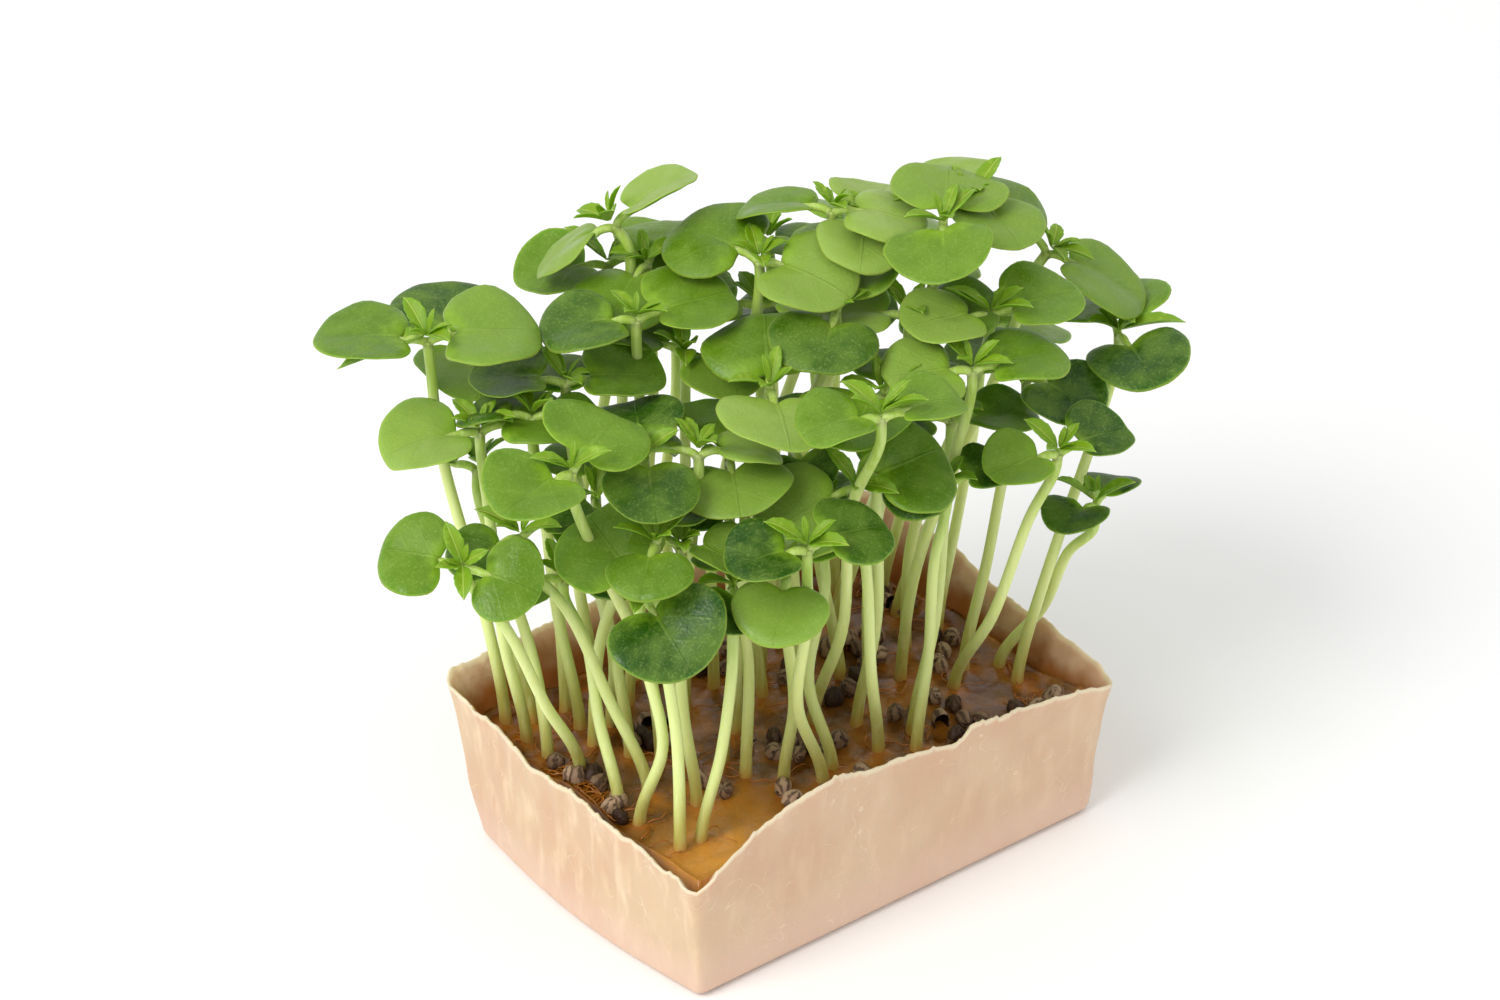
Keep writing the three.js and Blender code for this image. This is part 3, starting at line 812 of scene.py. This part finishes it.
class MICROGREENS_OT_pad(bpy.types.Operator):
    """Build the wet growing pad, with fine root threads on it"""

    bl_idname = "microgreens.pad"
    bl_label = "Growing Pad"

    def add_threads(self, skin, count):
        """Fine curled threads, which start at the stems and in the drifts of torn hulls."""
        draw = random_draw(THREAD_DRAW)
        (west, east), (south, north) = THREAD_REACH
        places = [row[:2] for row in SEEDLINGS]
        places += [(x + length / 2, y + width * share) for x, y, length, width in DRIFTS
                   for share in (0.1, 0.3, 0.5, 0.7, 0.9)] * 4
        for i in range(count):
            x, y = places[i % len(places)]
            angle, bend = TURN * draw(), 3 * draw() - 1.5
            path = []
            for step in range(6):
                path.append((x, y, pad_height(x, y) + 0.35 + 0.5 * math.sin(0.6 * step) * draw()))
                x, y = x + 0.8 * math.cos(angle), y + 0.8 * math.sin(angle)
                x, y = max(west, min(east, x)), max(south, min(north, y))
                angle += bend * draw()
            path = curve_points(path, np.linspace(0, 1, 14))
            points, faces = tube(path, 0.05 + 0.06 * draw(), 5)
            skin.add(points, faces, root=1.0)

    def execute(self, context):
        settings = context.scene.microgreens_pad
        columns, rows = 150, 110
        reach = [side / 2 + SOAK for side in plan_size(*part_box("growing_pad"))]
        x, y = np.meshgrid(
            np.linspace(-reach[0], reach[0], columns), np.linspace(-reach[1], reach[1], rows),
        )
        x, y = x.ravel(), y.ravel()
        side = np.minimum(reach[0] - np.abs(x), reach[1] - np.abs(y))
        roots = np.array(SEEDLINGS)[:, :2]
        gap = np.min(np.hypot(x[:, None] - roots[:, 0], y[:, None] - roots[:, 1]), axis=1)
        collar = np.exp(-((gap / 1.3) ** 2))
        flat = np.column_stack((x, y, np.zeros(len(x))))
        z = pad_height(x, y) + 0.45 * collar + 0.28 * bumps(flat, 3.2, 7) + 0.05 * bumps(flat, 0.9, 8)
        z += 0.7 * np.exp(-side / 0.7)
        # How much painted light each point of the open near corner gets
        pocket_x, pocket_y, wide, deep = LIT_POCKET
        pocket = np.exp(-(((x - pocket_x) / wide) ** 2) - ((y - pocket_y) / deep) ** 2)
        number = np.arange(rows * columns).reshape(rows, columns)
        quads = (number[:-1, :-1], number[:-1, 1:], number[1:, 1:], number[1:, :-1])
        faces = [tuple(face) for face in np.stack(quads, -1).reshape(-1, 4)]
        edge = [*number[0, :-1], *number[:-1, -1], *number[-1, :0:-1], *number[:0:-1, 0]]
        top = np.column_stack((x, y, z))
        foot = top[edge] * (*[1 - (SOAK + TRAY_TAPER / 2) / half for half in reach], 0)
        foot[:, 2] = FLOOR + CLEARANCE
        first = len(top)
        ring = len(edge)
        for i in range(ring):
            j = (i + 1) % ring
            faces.append((edge[i], first + i, first + j, edge[j]))
        faces.append(tuple(first + i for i in range(ring))[::-1])
        skin = Skin("root", "pocket")
        marks = [np.concatenate((mark, np.zeros(ring))) for mark in (collar, pocket)]
        skin.add(np.concatenate((top, foot)), faces, root=marks[0], pocket=marks[1])
        self.add_threads(skin, settings.threads)
        skin.build("root_pad", "wet_pad", ["growing_pad"], pad_finish(settings))
        return {"FINISHED"}


def hull_spots(count):
    """Where the hulls lie: first those of the solids, then the rest, clear of the stems."""
    draw = random_draw(HULL_PLACES)
    length, width = (side - 2 * HULL_MARGIN for side in plan_size(*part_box("fibre_tray")))
    roots = [row[:2] for row in SEEDLINGS]
    spots = []
    while len(spots) < count:
        x = (draw() - 0.5) * length
        y = (draw() - 0.5) * width
        clear, apart = 3.2, 2.4
        if len(spots) >= SOLID_HULLS:
            near = spots[int(draw() * len(spots))]
            x, y = near[0] + 6.4 * (draw() - 0.5), near[1] + 6.4 * (draw() - 0.5)
            clear, apart = 1.8, 1.7
        far = all(math.hypot(x - ox, y - oy) > clear for ox, oy in roots)
        inside = abs(x) < length / 2 + 3 and abs(y) < width / 2 + 3
        if inside and far and all(math.hypot(x - ox, y - oy) > apart for ox, oy in spots):
            spots.append((x, y))
    return spots


def add_hull(skin, centre, radius, draw, open_shell):
    """A round hull with a split across it, or one half of an empty one."""
    rings, sides = 15, 26
    reach = 0.62 if open_shell else 1.0
    polar = np.linspace(0.02, reach, rings) * math.pi
    around = 2 * np.pi * np.arange(sides) / sides
    shell = [(a, 1.0) for a in polar]
    if open_shell:
        shell += [(a, 0.82) for a in polar[::-1]]
    points, split, stripe = [], [], []
    for angle, size in shell:
        angle = min(angle, math.pi * 0.98)
        ring = np.column_stack((
            np.sin(angle) * np.cos(around), np.sin(angle) * np.sin(around) * 0.82,
            np.full(sides, np.cos(angle) * 1.12),
        ))
        groove = np.exp(-((ring[:, 0] / 0.12) ** 2)) * (ring[:, 2] < 0.9)
        inner = size < 1
        points.append(ring * size * (1 - 0.2 * groove[:, None] * (not inner)))
        split.append(np.ones(sides) if inner else groove)
        stripe.append(np.cos(5 * around + 0.8 * np.sin(3 * angle)) * 0.5 + 0.5)
    points = np.concatenate(points)
    points *= (1 + 0.12 * bumps(points, 0.6, int(draw() * 99)))[:, None] * radius
    turn = Matrix.Rotation(draw() * TURN, 4, "Z") @ Matrix.Rotation(draw() * 2.4 - 0.4, 4, "Y")
    loops = len(shell)
    faces = [tuple(face)[::-1] for face in rings_between(loops, sides)]
    faces += [tuple(range(sides)), tuple((loops - 1) * sides + i for i in range(sides))[::-1]]
    points = moved(points, Matrix.Translation(centre) @ turn)
    skin.add(
        points, faces, split=np.concatenate(split), stripe=np.concatenate(stripe), tone=draw(),
    )


def husk_finish(settings):
    """Dry buff to brown hulls, striped and dark in their splits."""
    finish = Finish("seed_husk", {"Specular IOR Level": 0.3})
    tone = finish.mark("tone")
    cloud = finish.grain(0.5, 3)
    stripes = (finish.mark("stripe") + 1.6 * cloud - 0.8).rises(0.5, 0.85)
    light = finish.mix(tone, tuple(settings.husk), linear(92, 64, 44))
    colour = finish.mix(stripes * 0.75, light, linear(58, 36, 22))
    dark = (finish.mark("split").rises(0.25, 0.7) + 0.7 * tone.rises(0.7, 0.95)).rises(0, 1)
    colour = finish.mix(dark, colour, tuple(settings.dark))
    return finish.surface(colour, 0.38 + 0.3 * cloud, finish.bump(cloud + 0.5 * stripes, 0.12))


class MICROGREENS_OT_hulls(bpy.types.Operator):
    """Scatter the empty seed hulls over the pad"""

    bl_idname = "microgreens.hulls"
    bl_label = "Seed Hulls"

    def execute(self, context):
        settings = context.scene.microgreens_hulls
        draw = random_draw(HULL_DRAW)
        skin = Skin("split", "stripe", "tone")
        spots = hull_spots(settings.count)
        for x, y, length, width in DRIFTS:
            spots += [(x + length * draw(), y + width * draw()) for _ in range(settings.drift)]
        for i, (x, y) in enumerate(spots):
            radius = settings.radius / MM * (0.85 + 0.3 * draw())
            lift = 0.5 + 0.5 * draw()
            open_shell = i % 5 in (1, 3) or i >= settings.count
            add_hull(skin, (x, y, pad_height(x, y) + lift), radius, draw, open_shell)
        skin.build("seed_hulls", "wet_pad", ["growing_pad"], husk_finish(settings))
        return {"FINISHED"}


def leaf_finish(settings):
    """A smooth seed leaf: mottled, faintly veined, plainer below, and paler at its edge as a painted
    highlight.
    """
    inner = glow(0.3, (0.5, 1.0, 0.15), 1.1)
    finish = Finish("seed_leaf", {**inner, "Specular IOR Level": 0.34})
    tone = finish.mark("tone")
    out = finish.mark("out")
    along = finish.mark("along")
    across = finish.mark("across")
    below = finish.mark("below")
    # The tone is partly random and partly painted light and shade by height
    colour = finish.mix(tone.rises(0.0, 0.5), tuple(settings.deep_green), tuple(settings.green))
    colour = finish.mix(tone.rises(0.5, 1.0), colour, tuple(settings.pale_green))
    mottle = finish.grain(3.0, 3).rises(0.34, 0.68)
    colour = finish.tint(colour, mottle * 0.34, 130, 160, 56)
    speckle = finish.grain(0.3, 3).rises(0.5, 0.72)
    colour = finish.tint(colour, speckle * 0.18, 172, 196, 104)
    midrib = 1 - (abs(across) / (0.05 - 0.035 * along)).rises(0.3, 1.0)
    branch = (along * 2.6 - abs(across) * 1.5 + 0.25 * finish.grain(3.0)).part()
    veins = 1 - (abs(branch - 0.5)).rises(0.02, 0.09)
    lines = midrib * (1 - along).rises(0.3, 0.95) * 0.3 + veins * 0.06
    colour = finish.tint(colour, lines, 150, 182, 76)
    fresh = (1 - along - 0.3 * abs(across) + 0.3 * finish.grain(1.0, 2)).rises(0.8, 1.15)
    colour = finish.tint(colour, fresh * 0.75, 140, 178, 40)
    # Painted highlight: a lighter line along the edge of the leaf
    colour = finish.tint(colour, out.rises(0.955, 1.0) * 0.5, 160, 184, 66)
    colour = finish.mix(below.rises(0.5, 0.9) * 0.85, colour, tuple(settings.underside))
    specks = (1 - finish.cells(2.4).rises(0.03, 0.06)) * finish.grain(6).rises(0.55, 0.66)
    colour = finish.tint(colour, specks * 0.5, 72, 84, 40)
    height = finish.grain(0.34, 3) * 0.6 + 0.15 * veins + 0.5 * midrib + 0.8 * finish.grain(1.4)
    return finish.surface(colour, 0.3 + 0.25 * mottle, finish.bump(height, 0.09))


def stem_finish(settings):
    """A watery stem: buff at its foot, pale along it and greener at the top."""
    inner = glow(0.45, (0.9, 1.0, 0.35), 1.2)
    finish = Finish("stem", {**inner, "Specular IOR Level": 0.45})
    along = finish.mark("along")
    colour = finish.mix(along.rises(0.0, 0.28), tuple(settings.foot), tuple(settings.stem))
    colour = finish.mix(along.rises(0.6, 1.0), colour, tuple(settings.neck))
    fibres = finish.grain(0.5, 3, finish.place((1, 1, 0.06)))
    colour = finish.tint(colour, fibres.rises(0.4, 0.7) * 0.3, 228, 238, 178)
    colour = finish.tint(colour, (1 - along).rises(0.94, 1.0) * 0.7, 198, 136, 62)
    return finish.surface(colour, 0.34 + 0.15 * fibres, finish.bump(fibres, 0.06))


def young_finish(settings):
    """A folded young leaf, yellow green, darker towards its teeth."""
    inner = glow(0.35, (0.7, 1.0, 0.15), 0.8)
    finish = Finish("young_leaf", {**inner, "Specular IOR Level": 0.4})
    out = finish.mark("out")
    across = finish.mark("across")
    cloud = finish.grain(0.9, 3)
    colour = finish.mix(out.rises(0.45, 1.0) * 0.55, tuple(settings.young), linear(104, 150, 30))
    midrib = 1 - abs(across).rises(0.03, 0.12)
    colour = finish.tint(colour, midrib * 0.55, 188, 212, 98)
    colour = finish.tint(colour, cloud.rises(0.5, 0.7) * 0.3, 176, 204, 80)
    return finish.surface(colour, 0.4 + 0.2 * cloud, finish.bump(cloud + midrib, 0.08))


def kidney_outline(length, half_width, draw):
    """The outline of a seed leaf, wider than long, notched where its stalk joins it."""
    half = ((0.0, 0.14), (-0.05, 0.46), (0.08, 0.84), (0.4, 1.02), (0.76, 0.82), (0.96, 0.42))
    notch = 0.03 + 0.03 * draw()
    end = 0.98 + 0.06 * draw()
    left = 0.88 + 0.18 * draw()
    right = 0.88 + 0.18 * draw()
    through = [(notch, 0.0)]
    through += [(x, -y * right) for x, y in half]
    through += [(end, 0.0)]
    through += [(x, y * left) for x, y in reversed(half)]
    outline = curve_points(through, np.arange(LEAF_POINTS) / LEAF_POINTS, closed=True)
    return outline * (length, half_width)


def add_seed_leaf(skin, head, angle, pitch, size, tone, settings, draw):
    """One seed leaf on its stalk, in the head's own frame."""
    length = settings.leaf_length / MM * size
    half_width = settings.leaf_half_width / MM * size
    seed = int(draw() * 999)
    fold = -0.2 + 1.9 * draw()
    curl = 0.8 * draw() - 0.2
    centre = np.array((0.44 * length, 0.0))

    def level(x, y, out):
        flat = np.column_stack((x, y, np.zeros(len(x))))
        droop = LEAF_CUP * (y / half_width) ** 2 * fold - LEAF_DROOP * (x / length) ** 2
        crease = -0.35 * np.exp(-((y / 0.9) ** 2)) * np.clip(1 - x / length, 0, 1)
        wave = 0.95 * bumps(flat, 5.5, seed) * out**2 + 0.12 * bumps(flat, 1.7, seed + 1)
        return x * math.tan(pitch) + droop + crease + wave - curl * out**8

    outline = kidney_outline(length, half_width, draw)
    points, faces, out, below = blade(outline, centre, level, settings.blade / MM)
    along = points[:, 0] / length
    across = points[:, 1] / half_width
    points = points + (PETIOLE_REACH, 0, PETIOLE_REACH * PETIOLE_RISE)
    place = head @ Matrix.Translation((0, 0, PAIR_LIFT)) @ Matrix.Rotation(angle, 4, "Z")
    roll = Matrix.Rotation(math.radians(20 * draw() - 10), 4, "X")
    skin.add(
        moved(points, place @ roll), faces, 0,
        tone=tone, along=along, across=across, out=out, below=below,
    )
    reach = np.linspace(0, 0.5 * length, 6)
    under = level(reach, np.zeros(6), np.zeros(6)) - 0.26
    stalk = [(0.0, 0.0, -0.9), (0.4, 0, -0.2), (1.0, 0, 0.1), (1.7, 0, 0.25)]
    stalk += [(PETIOLE_REACH + x, 0, PETIOLE_REACH * PETIOLE_RISE + z) for x, z in zip(reach, under)]
    shares = np.linspace(0, 1, 20)
    radii = np.interp(shares, (0, 0.25, 0.45, 0.7, 1), (0.5, 0.5, 0.44, 0.26, 0.08))
    points, faces = tube(curve_points(stalk, shares), radii, 8)
    skin.add(moved(points, place), faces, 1, tone=tone, along=0.97)


def add_young_leaf(skin, head, angle, length, rise, draw):
    """One small toothed leaf, folded along its midrib."""
    along = np.linspace(0.02, 0.98, 15)
    tooth = 0.93 + 0.14 * ((along * 4.6) % 1)
    half = 0.23 * np.sin(math.pi * along**0.85) ** 0.7 * tooth
    outline = [(0.0, 0.0), *zip(along, -half), (1.04, 0.0), *zip(along[::-1], half[::-1])]
    outline = np.array(outline) * length
    twist = (draw() - 0.5) * 0.5

    def level(x, y, out):
        share = x / length
        return abs(y) * 0.5 + y * twist + rise * x - (0.1 + 0.2 * rise) * length * share**2.5

    points, faces, out, below = blade(outline, np.array((0.45 * length, 0.0)), level, 0.3)
    across = points[:, 1] / (0.23 * length)
    share = points[:, 0] / length
    place = head @ Matrix.Rotation(angle, 4, "Z") @ Matrix.Translation((0.15, 0, SPROUT_LIFT))
    skin.add(
        moved(points, place), faces, 2, tone=draw(), along=share, across=across, out=out, below=below,
    )


def plan_seedling(number, step, swing, drawn):
    """Where a seedling would stand in one of the places that the solids try for it."""
    root_x, root_y, *tip, turn, lean, towards, size = SEEDLINGS[number]
    draw = random_draw(drawn * DRAW_APART + root_x * ROOT_APART + root_y)
    tip = np.array(tip) + step * np.array(TIP_STEP)
    turn += swing
    axis = Vector((-math.sin(math.radians(towards)), math.cos(math.radians(towards)), 0))
    tilt = Matrix.Rotation(math.radians(lean), 4, axis)
    foot = np.array((root_x, root_y, pad_height(root_x, root_y)))
    bends = [
        foot + (tip - foot) * share + reach * np.array((2 * draw() - 1, 2 * draw() - 1, 0))
        for share, reach in ((LOW_BEND, LOW_SWAY), (HIGH_BEND, HIGH_SWAY))
    ]
    leaves = []
    for side in (0, 180):
        angle = turn + side + 18 * draw() - 9
        pitch = 18 * draw() - 8
        leaves.append((math.radians(angle), math.radians(pitch), size * (0.95 + 0.09 * draw())))
    return SimpleNamespace(
        number=number, draw=draw, foot=foot, bends=bends, tip=tip, turn=turn, leaves=leaves,
        up=np.array(tilt.to_3x3() @ Vector((0, 0, 1))), head=Matrix.Translation(tip) @ tilt,
    )


def solid_leaf_tips(plan):
    """The tips of the two seed leaves as the solids have them, in metres."""
    tips = []
    for angle, pitch, size in plan.leaves:
        along = SOLID_LEAF * size
        rise = PETIOLE_REACH * PETIOLE_RISE + along * math.tan(pitch) - LEAF_DROOP * size**2
        spot = Vector((PETIOLE_REACH + along, 0, rise + PAIR_LIFT))
        tips.append(plan.head @ (Matrix.Rotation(angle, 4, "Z") @ spot) * MM)
    return tips


def plans_by_node():
    """The seedlings that each solid holds, each in the place where its leaf tips meet the solid."""
    found = []
    for name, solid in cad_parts.items():
        if name.startswith("seedling"):
            found += [(vertex.co.copy(), name) for vertex in solid.data.vertices]
    tree = kdtree.KDTree(len(found))
    for i, (spot, _) in enumerate(found):
        tree.insert(spot, i)
    tree.balance()
    plans = {}
    for number in range(len(SEEDLINGS)):
        best, home = 2 * NEAR, None
        for place in product(TIP_STEPS, LEAF_TURNS, DRAWS):
            plan = plan_seedling(number, *place)
            hits = [tree.find(spot) for spot in solid_leaf_tips(plan)]
            miss = sum(min(distance, NEAR) for _, _, distance in hits)
            if miss < best:
                best, home = miss, plan
                node = found[min(hits, key=lambda hit: hit[2])[1]][1]
        if home is None:
            raise RuntimeError(f"seedling {number + 1} stands in none of the solids")
        plans.setdefault(node, []).append(home)
    return plans


def add_seedling(skin, plan, settings):
    """A stem, its two seed leaves and the young leaves between them."""
    draw, foot, tip, head = plan.draw, plan.foot, plan.tip, plan.head
    through = [foot - (0, 0, ROOT_DEPTH), foot + (0, 0, 1.5), *plan.bends, tip - 3 * plan.up, tip]
    path = curve_points(through, np.linspace(0.1, 1, 38))
    height = path[:, 2] - foot[2]
    along = np.clip(height / (tip[2] - foot[2]), 0, 1)
    radii = settings.stem_radius / MM * (1.04 - 0.16 * along + 0.25 * np.exp(-np.abs(height) / 0.7))
    points, faces = tube(path, radii, STEM_SIDES)
    skin.add(points, faces, 1, along=np.repeat(along, STEM_SIDES))

    young = 0.8 + 0.35 * draw()
    # Painted light and shade: higher leaves get a lighter tone and lower ones a darker one, on top of
    # the random tone
    light = 0.3 + 0.5 * np.clip((tip[2] - PAINTED_SHADE_BELOW) / PAINTED_LIGHT_OVER, 0, 1)
    for leaf in plan.leaves:
        tone = np.clip(light + 0.95 * (draw() - 0.5), 0, 1)
        add_seed_leaf(skin, head, *leaf, tone, settings, draw)
    for i in range(2):
        angle = math.radians(plan.turn + 90 + 180 * i)
        for turned, length, rise in YOUNG_LEAVES:
            turned = angle + turned * (0.5 + draw())
            add_young_leaf(skin, head, turned, length * young, rise + 0.5 * draw(), draw)
    for number, direction, length, rise in TRUE_LEAVES:
        if number == plan.number:
            add_young_leaf(skin, head, math.radians(direction), length, rise, draw)


class MICROGREENS_OT_seedlings(bpy.types.Operator):
    """Grow the seedlings, each in the place of its solid"""

    bl_idname = "microgreens.seedlings"
    bl_label = "Seedlings"

    def execute(self, context):
        settings = context.scene.microgreens_seedlings
        finishes = leaf_finish(settings), stem_finish(settings), young_finish(settings)
        plans = plans_by_node()
        missing = [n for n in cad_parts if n.startswith("seedling") and n not in plans]
        if missing:
            raise RuntimeError(f"no seedling stands for {missing}")
        for node, members in plans.items():
            skin = Skin("tone", "along", "across", "out", "below")
            for plan in members:
                add_seedling(skin, plan, settings)
            skin.build(node.replace("seedling", "sprout"), "seedling_green", [node], *finishes)
        return {"FINISHED"}


class MICROGREENS_PT_panel(bpy.types.Panel):
    """The sizes, colours and steps of the tray of seedlings"""

    bl_idname = "MICROGREENS_PT_panel"
    bl_label = "Microgreens"
    bl_space_type = "VIEW_3D"
    bl_region_type = "UI"
    bl_category = "Microgreens"

    def draw(self, context):
        for step, _, group in STEPS:
            column = self.layout.column()
            settings = getattr(context.scene, group)
            for name in settings.bl_rna.properties.keys():
                if name not in ("rna_type", "name"):
                    column.prop(settings, name)
            column.operator(step.bl_idname)


STEPS = (
    (MICROGREENS_OT_stage, StageSettings, "microgreens_stage"),
    (MICROGREENS_OT_shell, ShellSettings, "microgreens_shell"),
    (MICROGREENS_OT_pad, PadSettings, "microgreens_pad"),
    (MICROGREENS_OT_hulls, HullSettings, "microgreens_hulls"),
    (MICROGREENS_OT_seedlings, SeedlingSettings, "microgreens_seedlings"),
)


def register():
    for step, settings, group in STEPS:
        bpy.utils.register_class(settings)
        setattr(bpy.types.Scene, group, PointerProperty(type=settings))
        bpy.utils.register_class(step)
    bpy.utils.register_class(MICROGREENS_PT_panel)


def unregister():
    bpy.utils.unregister_class(MICROGREENS_PT_panel)
    for step, settings, group in STEPS:
        bpy.utils.unregister_class(step)
        delattr(bpy.types.Scene, group)
        bpy.utils.unregister_class(settings)


def main():
    register()
    bpy.ops.microgreens.stage()
    bpy.ops.microgreens.shell()
    bpy.ops.microgreens.pad()
    bpy.ops.microgreens.hulls()
    bpy.ops.microgreens.seedlings()


if __name__ == "__main__":
    main()
